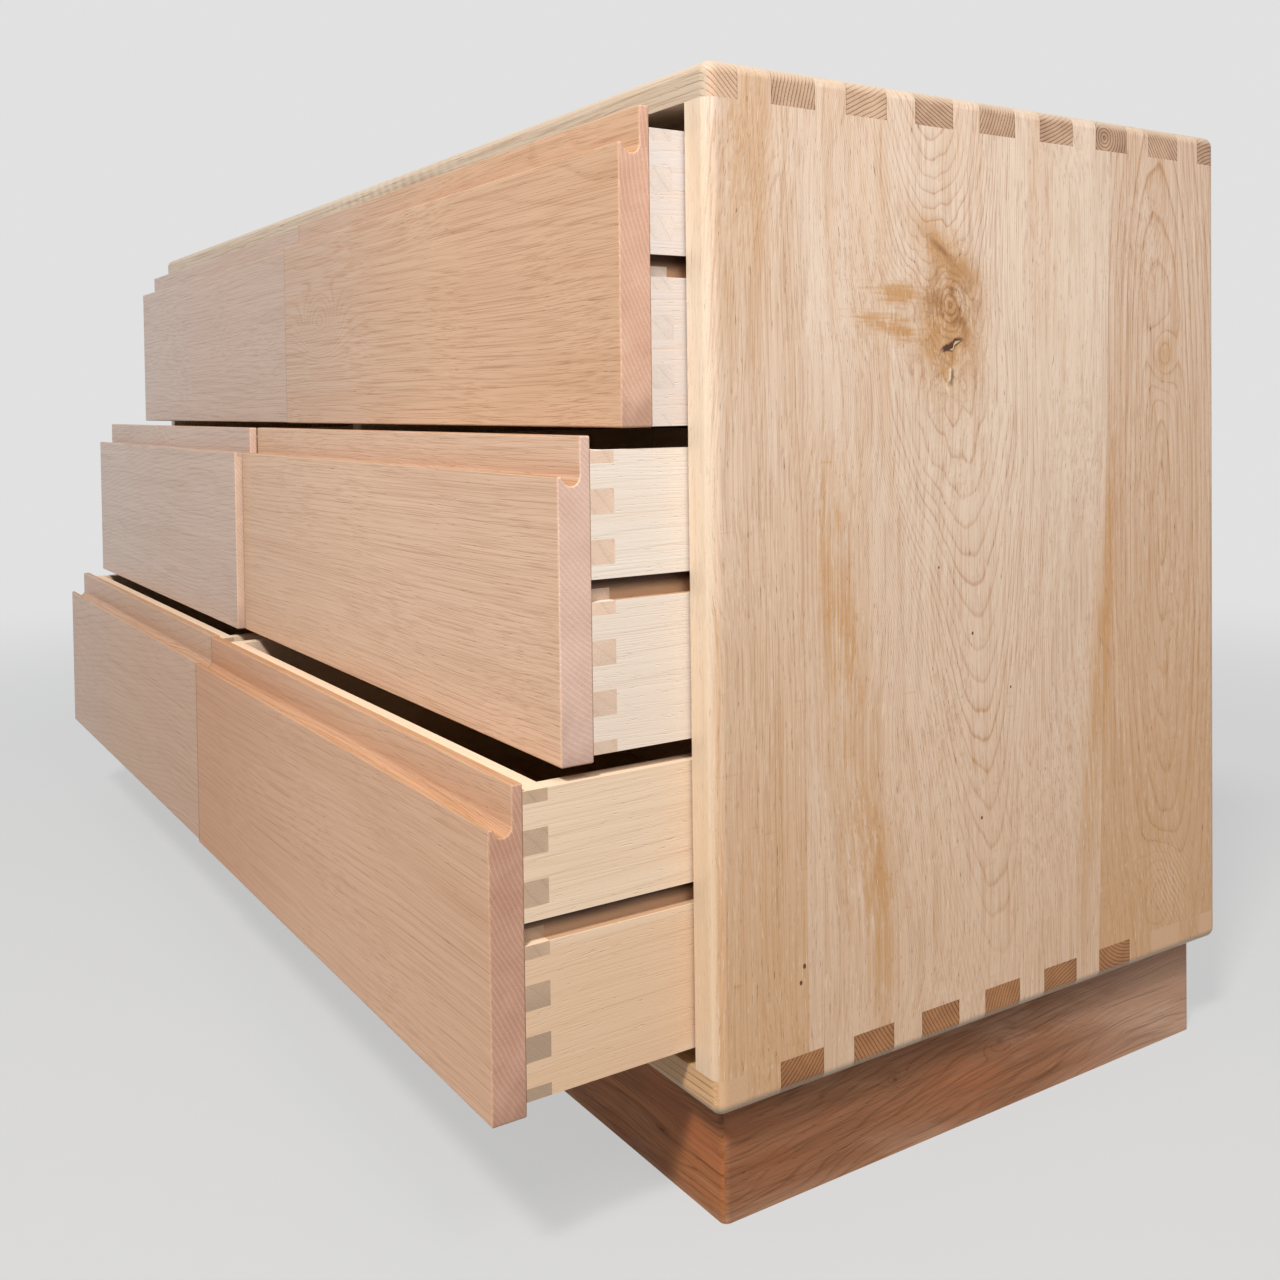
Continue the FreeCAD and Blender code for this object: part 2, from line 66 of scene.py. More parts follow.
class Graph:
    """The node tree of a material or a world, with short calls for what they need."""

    def __init__(self, owner):
        self.owner = owner
        owner.use_nodes = True
        self.tree = owner.node_tree
        self.tree.nodes.clear()

    def node(self, kind):
        return self.tree.nodes.new(f"ShaderNode{kind}")

    def feed(self, socket, value):
        """Links a wire or a socket to an input, or sets the input's own value."""
        if isinstance(value, Wire):
            value = value.socket
        if isinstance(value, bpy.types.NodeSocket):
            self.tree.links.new(value, socket)
        elif isinstance(value, tuple) and socket.type == "RGBA":
            socket.default_value = (*value, 1)
        else:
            socket.default_value = value

    def pass_through(self, node, *values):
        """Feeds a node's first inputs and gives its first output."""
        for socket, value in zip(node.inputs, values):
            self.feed(socket, value)
        return node.outputs[0]

    def math(self, operation, *values, clamp=False):
        node = self.node("Math")
        node.operation = operation
        node.use_clamp = clamp
        return Wire(self, self.pass_through(node, *values))

    def split(self, vector):
        node = self.node("SeparateXYZ")
        self.feed(node.inputs[0], vector)
        return [Wire(self, socket) for socket in node.outputs]

    def noise(self, x, y, z, detail=2, roughness=0.5):
        """Noise about zero, from -0.5 to 0.5, at a place given in cells."""
        node = self.node("TexNoise")
        self.feed(node.inputs["Vector"], self.pass_through(self.node("CombineXYZ"), x, y, z))
        for name, value in (("Scale", 1), ("Detail", detail), ("Roughness", roughness)):
            node.inputs[name].default_value = value
        return Wire(self, node.outputs[0]) - 0.5

    def smooth(self, value, low, high):
        """0 below low, 1 above high, smooth between them. High may be the smaller of the two."""
        if low > high:
            return 1 - self.smooth(value, high, low)
        node = self.node("MapRange")
        node.interpolation_type = "SMOOTHSTEP"
        self.feed(node.inputs["Value"], value)
        node.inputs["From Min"].default_value = low
        node.inputs["From Max"].default_value = high
        return Wire(self, node.outputs["Result"])

    def spot(self, u, v, centre, radii):
        """1 at the centre of an ellipse on a face, falling to 0 towards its edge."""
        across = (u - centre[0]) / radii[0]
        along = (v - centre[1]) / radii[1]
        return self.math("EXPONENT", -2 * (across * across + along * along))

    def ramp(self, value, points, constant=False):
        """A colour that follows value through (place, colour) points."""
        node = self.node("ValToRGB")
        self.feed(node.inputs[0], value)
        node.color_ramp.interpolation = "CONSTANT" if constant else "LINEAR"
        stops = node.color_ramp.elements
        stops.remove(stops[1])
        stops[0].position = points[0][0]
        stops[0].color = (*points[0][1], 1)
        for place, colour in points[1:]:
            stops.new(place).color = (*colour, 1)
        return node.outputs[0]

    def mix(self, factor, first, second):
        node = self.node("Mix")
        node.data_type = "RGBA"
        node.clamp_factor = True
        self.feed(node.inputs[MIX_FACTOR], factor)
        self.feed(node.inputs[MIX_FIRST], first)
        self.feed(node.inputs[MIX_SECOND], second)
        return node.outputs[MIX_RESULT]

    def mix_shaders(self, factor, first, second):
        return self.pass_through(self.node("MixShader"), factor, first, second)

    def output(self, kind, shader):
        self.feed(self.node(kind).inputs[0], shader)


class Surface(Graph):
    """A new material, with the place on the object and the way that the surface faces."""

    def __init__(self, name):
        super().__init__(bpy.data.materials.new(name))
        place = self.node("TexCoord")
        self.x, self.y, self.z = self.split(place.outputs["Object"])
        self.facing = [abs(part) for part in self.split(place.outputs["Normal"])]

    def faces(self, axis):
        """1 where the surface faces along an axis."""
        return self.smooth(self.facing[axis], 0.55, 0.8)

    def finish(self, colour, roughness, height, specular, coat=0.0, metallic=0.0,
               depth=BUMP_HEIGHT):
        """Ends the material: colour, roughness and a height in parts of depth metres."""
        bump = self.node("Bump")
        bump.inputs["Strength"].default_value = BUMP_STRENGTH
        bump.inputs["Distance"].default_value = depth
        self.feed(bump.inputs["Height"], height)
        shader = self.node("BsdfPrincipled")
        for name, value in (("Base Color", colour), ("Roughness", roughness),
                            ("Normal", bump.outputs[0]), ("Specular IOR Level", specular),
                            ("Metallic", metallic), ("Coat Weight", coat),
                            ("Coat Roughness", COAT_ROUGHNESS)):
            self.feed(shader.inputs[name], value)
        self.output("OutputMaterial", shader.outputs[0])
        return self.owner


def tone(red, green, blue):
    """A colour as seen on a screen, 0 to 255, as the linear colour that a shader takes."""
    def straight(part):
        part = part / 255
        return part / 12.92 if part <= 0.04045 else ((part + 0.055) / 1.055) ** 2.4
    return (straight(red), straight(green), straight(blue))


def darker(colour, share):
    return tuple(part * share for part in colour)


# The dark of a year ring over its width: the line starts softly and ends sharply.
RING_SHADES = ((0, 0.35), (0.05, 0.05), (0.5, 0.03), (0.8, 0.25), (0.9, 0.9), (0.96, 1), (1, 0.35))
PORE_WIDTH = 0.0009
STREAK_WIDTH = 0.006
STAVE_SHIFT = 0.4
# Painted shade for the rounded edges, which dulls the highlight that the lamps put there.
RIM_SHADE_TONE = tone(184, 166, 146)


class Board:
    """The grain of one board: where its year rings run, and how its faces and its ends look.

    Lengths are in metres, and seeds are places in the noise.
    """

    def __init__(self, name, grain, seed, sway=0.02):
        self.g = Surface(name)
        self.grain = grain
        self.seed = seed
        self.place = [self.g.x, self.g.y, self.g.z]
        self.along = self.place[grain]
        self.cross_axes = [axis for axis in (X, Y, Z) if axis != grain]
        self.first, self.second = [self.place[axis] for axis in self.cross_axes]
        wave = self.g.noise(self.along * 3 + seed, self.first * 8, self.second * 8, detail=1)
        self.wave = wave * sway
        self.tint = 0.0

    def fibres(self, length, width, seed=0.0, detail=2):
        """Noise drawn out along the grain, which wanders a little, about zero."""
        first, second = [(place + self.wave) / width for place in (self.first, self.second)]
        return self.g.noise(self.along / length + self.seed, first + seed, second, detail=detail,
                            roughness=0.6)

    def round_pith(self, pith, tilt, spacing, warp, staves=None):
        """Rings round a pith at a place in the axes across the grain, leaning by tilt per metre.

        staves is (axis, start, width, shifts) for a board that is glued up: each stave has its own
        pith and tint.
        """
        g = self.g
        pith = list(pith)
        if staves:
            axis, start, width, shifts = staves
            whole = g.math("FLOOR", (self.place[axis] - start) / width)
            stops = [(number / len(shifts), tuple(0.5 + part for part in shift))
                     for number, shift in enumerate(shifts)]
            parts = g.split(g.ramp((whole + 0.5) / len(shifts), stops, constant=True))
            side = self.cross_axes.index(axis)
            pith[side] = (whole + 0.5) * width + start + (parts[0] - 0.5) * STAVE_SHIFT
            pith[1 - side] = pith[1 - side] + (parts[1] - 0.5) * STAVE_SHIFT
            self.tint = parts[2] - 0.5
        wander = g.noise(self.along * 1.6 + self.seed, self.first * 7, self.second * 7)
        ripple = g.noise(self.along * 5 + self.seed, self.first * 22 + 7, self.second * 22)
        self.across = self.first - pith[0] - self.along * tilt[0]
        self.through = self.second - pith[1] - self.along * tilt[1]
        radius = g.math("SQRT", self.across * self.across + self.through * self.through + 0.000001)
        self.field = (radius + wander * warp * 4 + ripple * warp) / spacing

    def lay(self, amount, colour):
        """Mixes another colour into the board's."""
        self.colour = self.g.mix(amount, self.colour, colour)

    def face(self, pale, dark, stain, contrast=0.5, hairs=0.3, streak=0.4, pore=0.35,
             pore_length=0.008, stain_amount=0.4, stain_map=None, extra=0.0,
             hairline=(0.14, 0.0012)):
        """The colour along the grain: year rings, hairlines, soft streaks, pores and stains."""
        g = self.g
        shades = [(place, (shade, shade, shade)) for place, shade in RING_SHADES]
        self.line = g.split(g.ramp(g.math("FRACT", self.field), shades))[0]
        uneven = g.noise(self.field * 0.31, self.seed, 0)
        self.hair = g.smooth(self.fibres(*hairline), -0.03, 0.15)
        middle = self.fibres(hairline[0] * 1.4, STREAK_WIDTH, 9.0, detail=3)
        broad = g.noise(self.along * 2.2 + self.seed, self.first * 26, self.second * 26, detail=3,
                        roughness=0.6)
        self.dash = g.smooth(self.fibres(pore_length, PORE_WIDTH, 5.0, detail=1), 0.15, 0.27)
        shade = self.line * (0.8 + uneven * 2.2) * contrast + (self.hair - 0.4) * hairs
        shade = shade + middle * streak + 0.25 + extra
        self.colour = g.mix(g.math("ADD", shade, self.tint, clamp=True), pale, dark)
        amount = g.smooth(broad, -0.05, 0.3) * stain_amount
        if stain_map:
            amount = g.math("MAXIMUM", amount, stain_map)
        self.lay(amount, stain)
        self.lay(self.dash * pore * (0.3 + self.line), darker(dark, 0.45))

    def ends(self, pale, dark, contrast, outline=None, rays=0.2):
        """The colour of the ends, mixed in where the surface faces along the grain."""
        g = self.g
        grit = g.noise(self.first * 1300, self.second * 1300, self.along * 300, roughness=0.7)
        angle = g.math("ARCTAN2", self.through, self.across)
        ray = g.noise(angle * 220, self.field * 0.12, self.seed, detail=1)
        cloud = g.noise(self.first * 45 + self.seed, self.second * 45, self.along * 5)
        shade = self.line * contrast + grit * 0.6 + ray * rays + cloud * 0.8 + self.tint * 1.5 + 0.2
        colour = g.mix(g.math("ADD", shade, 0.0, clamp=True), pale, dark)
        if outline:
            colour = g.mix(outline, colour, darker(dark, 0.35))
        self.lay(g.faces(self.grain), colour)

    def rim_painted_shade(self):
        """Painted shade: a duller tone on the roundings between the top and the upright faces,
        which dulls their highlight.
        """
        facing = self.g.facing
        self.lay(self.g.smooth((facing[X] + facing[Y]) * facing[Z], 0.1, 0.45) * 0.6, RIM_SHADE_TONE)

    def done(self, roughness=0.46, specular=0.25, coat=0.0):
        """Ends the board's material: dark lines are rougher, and pores lie deepest."""
        rough = roughness + self.line * 0.06 + (self.hair - 0.4) * 0.1
        height = self.hair * -0.25 - self.line * 0.25 - self.dash * 0.8
        return self.g.finish(self.colour, rough, height, specular, coat)


def paint(material, *nodes):
    """Gives a material to CAD nodes."""
    for name in nodes:
        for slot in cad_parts[name].material_slots:
            slot.material = material


def plain_board(name, grain, seed, pith, pale, dark, stain, tilt=(0.0, 0.0), spacing=0.004,
                warp=0.006, **look):
    board = Board(name, grain, seed)
    board.round_pith(pith, tilt, spacing, warp)
    board.face(pale, dark, stain, **look)
    board.ends(pale, dark, 0.6)
    return board.done()


FINGER_START = -0.2267
FINGER_PITCH = 0.0611
FINGER_WIDTH = 0.0257
STAVES_START = FINGER_START + FINGER_WIDTH / 2 - FINGER_PITCH
# For each stave from the front to the back: the shifts of its pith, and its tint.
TOP_STAVES = [(0.3, 0.25, -0.16), (0.36, -0.12, -0.02), (-0.25, 0.4, -0.1), (0.2, 0.3, 0.04),
              (-0.3, 0.1, 0.02), (-0.2, 0.35, 0.04), (-0.02, -0.05, 0.1), (0.3, 0.2, 0.02),
              (0.1, -0.3, 0.14)]
BOTTOM_STAVES = [(0.4, 0.3, -0.45), (-0.3, 0.3, 0.03), (0.28, 0.2, -0.04), (0.4, 0.28, -0.06),
                 (-0.4, 0.2, -0.1), (0.2, -0.35, -0.06), (0.05, 0.1, 0.0), (-0.4, 0.3, -0.45),
                 (0.3, 0.3, -0.45)]
CURLED_PLACE = ((0.16, -0.25), (0.2, 0.1))
BLONDE_END = tone(212, 174, 138)


def level_board(name, seed, pith_height, staves, pale, dark, end_pale, end_dark):
    """The case's top or bottom, glued up from staves, with fingers that end at the sides."""
    board = Board(name, X, seed)
    g = board.g
    board.round_pith((0.0, pith_height), (0.0, 0.01), 0.0028, 0.005,
                     (Y, STAVES_START, FINGER_PITCH, staves))
    stave_tint = board.tint
    board.tint = stave_tint * 0.3
    curls = g.math("SINE", (g.x + g.z * 0.6) * 330 + g.noise(g.x * 40, g.y * 40, g.z * 40) * 5)
    board.face(pale, dark, darker(dark, 1.3), hairs=0.4,
               extra=g.spot(g.x, g.y, *CURLED_PLACE) * curls * 0.2)
    board.tint = stave_tint
    place = g.math("FRACT", (g.y - STAVES_START) / FINGER_PITCH) * FINGER_PITCH
    half_block = (FINGER_PITCH - FINGER_WIDTH) / 2
    edge = g.smooth(abs(place - FINGER_PITCH / 2), half_block - 0.0009, half_block - 0.0002)
    board.ends(end_pale, end_dark, 0.9, edge * 0.4)
    board.lay(g.smooth(stave_tint, -0.25, -0.4) * g.faces(X) * 0.8, BLONDE_END)
    board.rim_painted_shade()
    return board.done()


BLONDE = tone(228, 204, 182)
BLONDE_DARK = tone(176, 132, 98)
BLONDE_STAIN = tone(206, 164, 124)
SEAMS = (-0.178, 0.121)
SEAM_HALF = 0.0003
# The right side's features as ellipses: centre and radii, each as (y, z).
SIDE_SPOTS = {
    "knot_rings": ((-0.05, 0.565), (0.05, 0.09)),
    "rings_before_knot": ((-0.10, 0.575), (0.05, 0.03)),
    "eye_rings": ((0.183, 0.545), (0.022, 0.035)),
    "low_rings": ((0.178, 0.13), (0.03, 0.05)),
    "knot_stain": ((-0.050, 0.564), (0.040, 0.060)),
    "upper_stain": ((-0.054, 0.580), (0.040, 0.020)),
    "upper_streak": ((-0.100, 0.575), (0.040, 0.012)),
    "lower_streak": ((-0.108, 0.5465), (0.044, 0.014)),
    "upper_flame": ((0.018, 0.38), (0.030, 0.15)),
    "lower_flame": ((0.03, 0.19), (0.03, 0.12)),
    "seam_stain": ((0.105, 0.30), (0.014, 0.22)),
    "eye_stain": ((0.185, 0.545), (0.014, 0.026)),
    "light_before_knot": ((-0.145, 0.60), (0.05, 0.10)),
    "light_behind_knot": ((0.06, 0.58), (0.06, 0.14)),
    "dark_knot": ((-0.046, 0.576), (0.030, 0.034)),
    "dark_slash": ((-0.056, 0.579), (0.014, 0.004)),
    "whorl": ((-0.047, 0.578), (0.026, 0.034)),
    "pale_under_knot": ((-0.049, 0.53), (0.006, 0.022)),
    "slit": ((-0.046, 0.567), (0.018, 0.005)),
    "crack": ((-0.047, 0.530), (0.004, 0.018)),
    "chip": ((-0.043, 0.5665), (0.010, 0.002)),
    "low_curls": ((0.19, 0.135), (0.028, 0.045)),
}
SIDE_STAIN = tone(192, 140, 84)
SIDE_GLINT_TONE = tone(240, 222, 200)
SIDE_EDGE = tone(226, 212, 186)
KNOT_OUTLINE = tone(132, 86, 52)
KNOT_HEART = tone(132, 86, 50)
KNOT_WHORL = tone(112, 70, 40)
UNDER_KNOT = tone(240, 214, 176)
SLIT_DARK = tone(78, 46, 24)
SLIT_CHIP = tone(226, 196, 150)
LOW_CURL = tone(226, 198, 168)
SIDE_END = tone(208, 184, 158)
SIDE_END_DARK = tone(158, 120, 86)
WORM_HOLE = tone(96, 56, 30)
# The worm holes of the right side as (y, z, size).
WORM_HOLES = ((-0.181, 0.156, 0.0022), (-0.184, 0.146, 0.002), (-0.028, 0.352, 0.0016),
              (-0.02, 0.222, 0.0016), (0.01, 0.31, 0.0013), (-0.06, 0.40, 0.0012))


class RightSide(Board):
    """The side of the photograph: three planks, a crotch knot with arches under it, a long eye."""

    def __init__(self):
        super().__init__("right_side_wood", Z, 1.3, sway=0.06)
        g = self.g
        self.wander = g.noise(g.z * 1.8, g.y * 8, 0.3, detail=3)
        self.ripple = g.noise(g.z * 9, g.y * 30, 4.0)
        self.curl = g.noise(g.y * 34, g.z * 24, 6.0)
        self.swirl = g.noise(g.y * 84, g.z * 54, 6.0, detail=4, roughness=0.62)
        self.cloud = g.noise(g.y * 60, g.z * 30, 2.0, detail=4, roughness=0.65)
        self.silver = g.noise(g.z * 3, (g.y + self.wave) * 160, 9.0, detail=3, roughness=0.65)
        self.in_second, self.in_third = [
            g.smooth(across, seam - SEAM_HALF, seam + SEAM_HALF)
            for across, seam in zip((g.y, g.y + (0.7 - g.z) * 0.027), SEAMS)]
        self.on_edge = g.smooth(g.facing[Y], 0.5, 0.9)
        bend = g.noise(g.z * 3.2, g.y * 3.2, 8.0, detail=1)
        self.arch_axis = g.y + 0.05 - (0.56 - g.z) * 0.11 + bend * 0.02

    def at(self, name, y=None, z=None):
        """A feature of the side. Another y or z than the place's own bends it."""
        return self.g.spot(y or self.g.y, z or self.g.z, *SIDE_SPOTS[name])

    def draw_rings(self):
        """Straight rings in the first plank, arches in the second and an eye in the third."""
        g, wander, ripple = self.g, self.wander, self.ripple
        first = (g.y + g.z * 0.03 + wander * 0.035 + ripple * 0.004) / 0.0042
        tooth = g.noise(g.z * 26, g.y * 60, 5.0, detail=3)
        climb = g.z + g.z * g.z * 0.9
        breadth = g.spot(g.z, g.z, (0.49, 0.49), (0.17, 0.17))
        square = self.arch_axis * self.arch_axis
        bowl = square * 112 - breadth * 55 * g.math("MINIMUM", square, 0.0036)
        second = (bowl - climb + wander * 0.14 + ripple * 0.05 + tooth * 0.008) / 0.034
        second = second + self.at("knot_rings") * (3.5 + ripple * 8 + self.curl * 9 + tooth * 2)
        second = second + self.at("rings_before_knot") * 2.5
        lean = g.y - 0.182 + (g.z - 0.4) * 0.02 + wander * 0.02
        rise = (g.z - 0.42) * 0.14
        third = g.math("SQRT", lean * lean + rise * rise + 0.000004) / 0.0056 + ripple * 1.2
        third = third + self.at("eye_rings") * 4
        third = third + self.at("low_rings") * 5
        field = first + (second - first) * self.in_second
        field = field + (third - field) * self.in_third
        self.field = field + ((g.x + wander * 0.02) / 0.003 - field) * self.on_edge
        self.across, self.through = g.x - 0.9, g.y

    def stains(self):
        """How stained the side is: round the knot, in a flame, along a seam and low down."""
        g, cloud, silver = self.g, self.cloud, self.silver
        knot = self.at("knot_stain") * (1.1 + cloud * 2.0 + self.swirl * 2)
        above = self.at("upper_stain", z=g.z + g.y * 0.65) * (0.9 + cloud * 2 + self.swirl)
        streaks = self.at("upper_streak", z=g.z + g.y * 0.1) * 1.1
        streaks = streaks + self.at("lower_streak", z=g.z + g.y * 0.15)
        hairs = g.noise(g.y * 40, g.z * 420, 3.0)
        streaks = g.smooth(streaks + hairs * 1.4 + cloud, 0.15, 1.1) * 0.95
        thread = self.fibres(0.16, 0.0024, 21.0, detail=3)
        flame_y = g.y + 0.176 - (0.47 - g.z) * 0.10 + self.wander * 0.03
        upper_grain = 0.6 + cloud * 1.4 + silver * 1.2 + thread * 2.4
        flame = self.at("upper_flame", y=flame_y) * upper_grain
        flame = flame + self.at("lower_flame", y=flame_y) * (0.4 + silver * 1.6 + thread * 1.6)
        seam_y = g.y - (g.z - 0.3) * 0.10
        seam = self.at("seam_stain", y=seam_y) * (0.6 + silver * 1.6 + thread * 2)
        eye = self.at("eye_stain") * (0.5 + cloud * 2)
        low = g.smooth(g.z, 0.66, 0.05) * (0.8 - self.in_second * 0.32 + self.in_third * 0.26)
        low = low + self.in_third * 0.1
        return g.math("ADD", knot + above + streaks + flame + seam + eye, low, clamp=True)

    def draw_faces(self):
        """The planks' own woods, stained, with pale flecks of painted glint, and paler on the
        case's front and back edges.
        """
        g = self.g
        light = self.at("light_before_knot") + self.at("light_behind_knot")
        self.tint = (self.in_third * 0.23 - self.in_second * 0.08 - light * 0.15
                     - self.on_edge * 0.3 + self.silver * 0.6)
        near_axis = 1 - g.smooth(abs(self.arch_axis), 0.07, 0.14)
        arches = self.in_second * near_axis * g.smooth(g.z, 0.05, 0.3)
        self.face(BLONDE, BLONDE_DARK, SIDE_STAIN,
                  contrast=0.36 + arches * 0.18 + self.in_third * 0.1, hairs=0.35, streak=0.8,
                  pore=0.8, pore_length=0.011, stain_amount=0.5, stain_map=self.stains() * 0.85)
        # Painted glints: short pale flecks along the grain.
        painted_glint = g.smooth(self.fibres(0.014, 0.0013, 17.0), 0.1, 0.2)
        self.lay(painted_glint * 0.28, SIDE_GLINT_TONE)
        self.lay(self.on_edge * 0.4, SIDE_EDGE)

    def draw_knot(self):
        """The knot's outlines, dark heart and whorl, and the slit with its crack and pale chip."""
        g, swirl = self.g, self.swirl
        outline = self.at("knot_rings") * (1 - g.smooth(abs(swirl + self.curl * 0.5), 0.0, 0.03))
        self.lay(outline * 0.4, KNOT_OUTLINE)
        heart = self.at("dark_knot") * g.smooth(swirl, -0.04, 0.1)
        heart = heart + self.at("dark_slash", z=g.z + g.y * 0.65 + swirl * 0.006) * 0.9
        self.lay(heart * 0.8, KNOT_HEART)
        centre_y, centre_z = SIDE_SPOTS["whorl"][0]
        aside, above = g.y - centre_y, g.z - centre_z
        from_centre = g.math("SQRT", aside * aside + above * above * 0.6)
        whorl = g.smooth(g.math("SINE", (from_centre + swirl * 0.010) * 1500), 0.0, 0.9)
        self.lay(self.at("whorl") * whorl * 0.5, KNOT_WHORL)
        self.lay(self.at("pale_under_knot") * g.smooth(swirl, 0, -0.1), UNDER_KNOT)
        slanted = g.z - g.y * 0.35
        slit = self.at("slit", z=slanted + swirl * 0.012)
        slit = slit + self.at("crack", y=g.y + swirl * 0.012) * 0.6
        self.lay(g.smooth(slit, 0.35, 0.7), SLIT_DARK)
        chip = g.smooth(self.at("chip", z=slanted + swirl * 0.02), 0.45, 0.8)
        self.lay(chip * 0.8, SLIT_CHIP)

    def draw_marks(self):
        """Worm holes, and pale curls near the lower back corner."""
        g = self.g
        for y, z, size in WORM_HOLES:
            hole = g.spot(g.y, g.z, (y, z), (size, size * 1.3))
            self.lay(g.smooth(hole, 0.3, 0.7), WORM_HOLE)
        curls = g.math("SINE", (g.z + g.y * 1.6 + self.cloud * 0.012) * 900)
        self.lay(self.at("low_curls") * g.smooth(curls, 0.1, 0.9) * 0.5, LOW_CURL)

    def material(self):
        self.draw_rings()
        self.draw_faces()
        self.draw_knot()
        self.draw_marks()
        self.ends(SIDE_END, SIDE_END_DARK, 0.7)
        self.rim_painted_shade()
        return self.done(roughness=0.42, coat=0.18)


PLINTH_PALE = tone(161, 109, 75)
PLINTH_DARK = tone(96, 57, 34)
PLINTH_RED = tone(168, 96, 58)
PLINTH_GREY = tone(196, 158, 132)
PLINTH_WORN = tone(186, 150, 124)
PLINTH_KNOT = tone(84, 48, 30)
# Where the plinth's figure bends, as (place along the board, height, size, how far), and its knots.
PLINTH_SWIRLS = ((-0.09, 0.051, 0.008, 2.0), (0.013, 0.05, 0.012, -2.5), (0.224, 0.012, 0.01, 2.0))
PLINTH_PIN_KNOT = ((-0.09, 0.051), (0.0032, 0.0024))
PLINTH_LONG_KNOT = ((0.013, 0.05), (0.006, 0.002))


def plinth_board(name, grain, seed, pale=PLINTH_PALE, dark=PLINTH_DARK, faded=0.0):
    """Walnut with a flowing figure, red and grey zones, pin knots and a paler worn lower edge."""
    board = Board(name, grain, seed)
    g, along = board.g, board.along
    flow = g.noise(along * 2.6 + seed, g.z * 14, 3.0, detail=3)
    swell = g.noise(along * 7, g.z * 30, seed)
    board.field = (g.z - along * 0.13 + flow * 0.09 + swell * 0.012) / 0.0085
    for place, height, size, amount in PLINTH_SWIRLS:
        swirl = g.spot(along, g.z, (place, height), (size * 1.6, size)) * amount
        board.field = board.field + swirl
    board.across, board.through = board.first, board.second
    board.face(pale, dark, darker(dark, 1.5), contrast=0.36, hairs=0.22, streak=0.8, pore=0.8,
               stain_amount=0.6)
    cloud = g.noise(along * 6 + seed, g.z * 22 + along * 5, 7.0, detail=4, roughness=0.6)
    slanted = g.z - (along * 0.06 - flow * 0.06)
    brushed = g.noise(along * 16, slanted * 420, 5.0, detail=3, roughness=0.65)
    grey = g.smooth(cloud, -0.02, -0.2) * 0.3 + g.smooth(along, 0.04, 0.2) * faded + brushed * 0.5
    board.lay(g.smooth(cloud, 0.0, 0.2) * 0.5, PLINTH_RED)
    board.lay(grey, PLINTH_GREY)
    lines = g.noise(along * 9, slanted * 650, 2.0, roughness=0.6)
    board.lay(g.smooth(lines, 0.0, 0.16) * 0.34, darker(dark, 0.7))
    board.lay(g.smooth(g.z, 0.012, 0.0) * g.smooth(swell, -0.2, 0.2) * 0.35, PLINTH_WORN)
    knots = g.spot(along, g.z, *PLINTH_PIN_KNOT) + g.spot(along, g.z, *PLINTH_LONG_KNOT) * 0.8
    board.lay(knots * 0.7, PLINTH_KNOT)
    board.ends(pale, dark, 0.5)
    return board.done(0.5, specular=0.15)


# For each row: the pale and the dark of its boxes, their fingers, and how strong their stain above
# the groove and the painted shade on their lower fingers are.
BOX_LOOKS = {
    "top": (tone(217, 208, 204), tone(214, 188, 160), tone(224, 209, 197), 0.1),
    "middle": (tone(233, 220, 206), tone(214, 188, 164), tone(230, 199, 175), 0.2),
    "bottom": (tone(232, 207, 180), tone(202, 162, 124), tone(197, 167, 140), 0.5),
}
GROOVE_MIDDLE = 0.09725
GROOVE_HALF = 0.00675
GROOVE_PALE = tone(190, 152, 120)
GROOVE_SHADOW_TONE = tone(70, 44, 30)


def box_board(name, node, seed, pale, dark, finger, stain_and_low_shade):
    """A board of a drawer box, darker towards its bottom by painted shade. A side has a runner
    groove, redder than its faces, with painted shadow along its upper part.
    """
    is_side = "side" in node
    board = Board(name, Y if is_side else X, seed)
    g = board.g
    low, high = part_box(node)
    pith = (high[0] + 0.08, low[2] + 0.02) if is_side else (high[1] + 0.3, low[2] + 0.35)
    board.round_pith(pith, (0.0, 0.05), 0.009, 0.008)
    arch = g.z - low[2] - 0.066 + board.along * board.along * 0.9 + board.wave
    over_groove = g.smooth(g.z, low[2] + GROOVE_MIDDLE, low[2] + 0.08)
    warm = g.smooth(arch, -0.012, 0.004) * over_groove * stain_and_low_shade
    # Painted shade: the board's faces darken towards its bottom edge.
    board.face(pale, dark, darker(dark, 1.1), contrast=0.16, hairs=0.08, streak=0.35, pore=0.1,
               stain_amount=0.5, stain_map=warm,
               extra=g.smooth(g.z, low[2] + 0.11, low[2]) * 0.12 - 0.1)
    if is_side:
        # Painted shadow: the groove darkens towards its top, where its upper lip would shade it.
        from_middle = g.z - low[2] - GROOVE_MIDDLE
        groove = g.smooth(abs(from_middle), GROOVE_HALF + 0.001, GROOVE_HALF)
        depth = (high[0] - low[0]) / 2 - abs(g.x - (low[0] + high[0]) / 2)
        within = groove * g.smooth(depth, 0.0006, 0.0014)
        shadow_edge_noise = g.noise(g.y * 30, g.z * 300, 1.0, detail=3)
        shade = g.smooth(from_middle + shadow_edge_noise * 0.003, -0.004, 0.0045)
        board.lay(within, g.mix(shade, GROOVE_PALE, GROOVE_SHADOW_TONE))
    # Painted shade: the fingers darken towards the bottom of the board.
    low_finger_shade = g.smooth(g.z, low[2] + 0.075, low[2] + 0.045)
    board.ends(g.mix(low_finger_shade * stain_and_low_shade, finger, darker(finger, 0.45)), darker(finger, 0.7), 0.3, rays=0.05)
    return board.done(0.5)


COVE_SHADE_TONE = tone(158, 113, 72)
ARRIS_SHADOW_TONE = tone(120, 80, 52)
